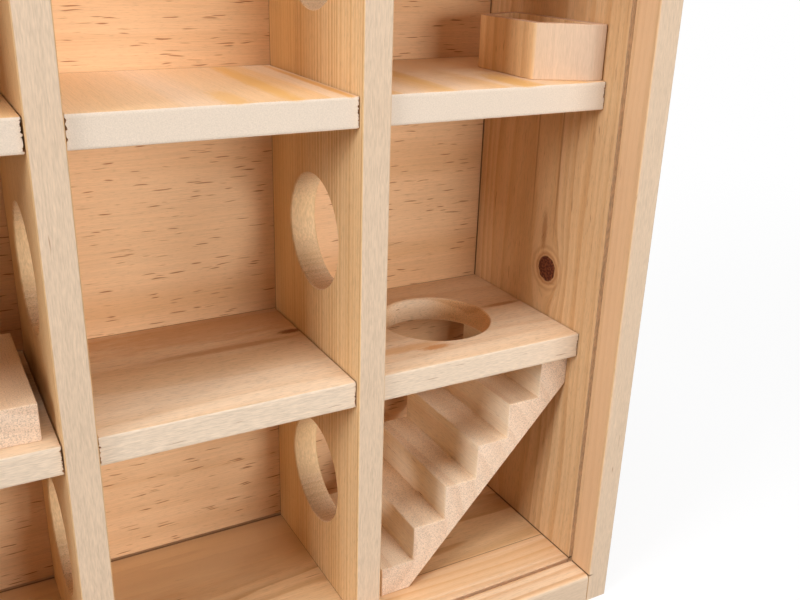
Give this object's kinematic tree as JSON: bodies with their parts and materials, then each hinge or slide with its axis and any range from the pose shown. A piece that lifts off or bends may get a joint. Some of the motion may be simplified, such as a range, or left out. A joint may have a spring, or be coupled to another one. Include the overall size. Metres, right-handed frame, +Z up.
{
  "type": "hamster play tower",
  "caption": "Open-fronted pine play tower for hamsters: rooms on several storeys joined by round passages, with sawn stairs, a feed dish and grooves for a front pane.",
  "frame": {"origin": "under the middle of the tower, on the surface that it stands on", "axes": "+Z up, +X to the right seen from the open front, -Y towards the front"},
  "size_m": [0.36, 0.1216, 0.367],
  "materials": {
    "pine_board": "planed and sanded, unfinished",
    "pine_back": "planed, unfinished, with resin flecks",
    "stair_block": "sawn, unfinished",
    "dish_block": "sanded, unfinished",
    "dowel_wood": "turned beech",
    "screw_steel": "zinc plated",
    "nail_steel": "bright wire"
  },
  "bodies": {
    "case": {"back_nails": "nail_steel", "back_panel": "pine_back", "floor_board": "pine_board", "floor_screws": "screw_steel", "front_sill": "pine_board", "left_divider": "pine_board", "left_side_panel": "pine_board", "left_side_screws": "screw_steel", "left_stairs": "stair_block", "left_top_board": "pine_board", "lower_left_shelf": "pine_board", "lower_middle_shelf": "pine_board", "lower_right_shelf": "pine_board", "right_divider": "pine_board", "right_side_panel": "pine_board", "right_side_screws": "screw_steel", "right_stairs": "stair_block", "right_top_board": "pine_board", "shelf_dowels": "dowel_wood", "top_screws": "screw_steel", "upper_left_shelf": "pine_board", "upper_middle_shelf": "pine_board", "upper_right_shelf": "pine_board"},
    "dish": {"feed_dish": "dish_block"}
  },
  "joints": [
    {"name": "dish_take_out", "type": "slide", "parent": "case", "child": "dish", "axis": [0, -1, 0], "range_m": [0, 0.1]}
  ]
}
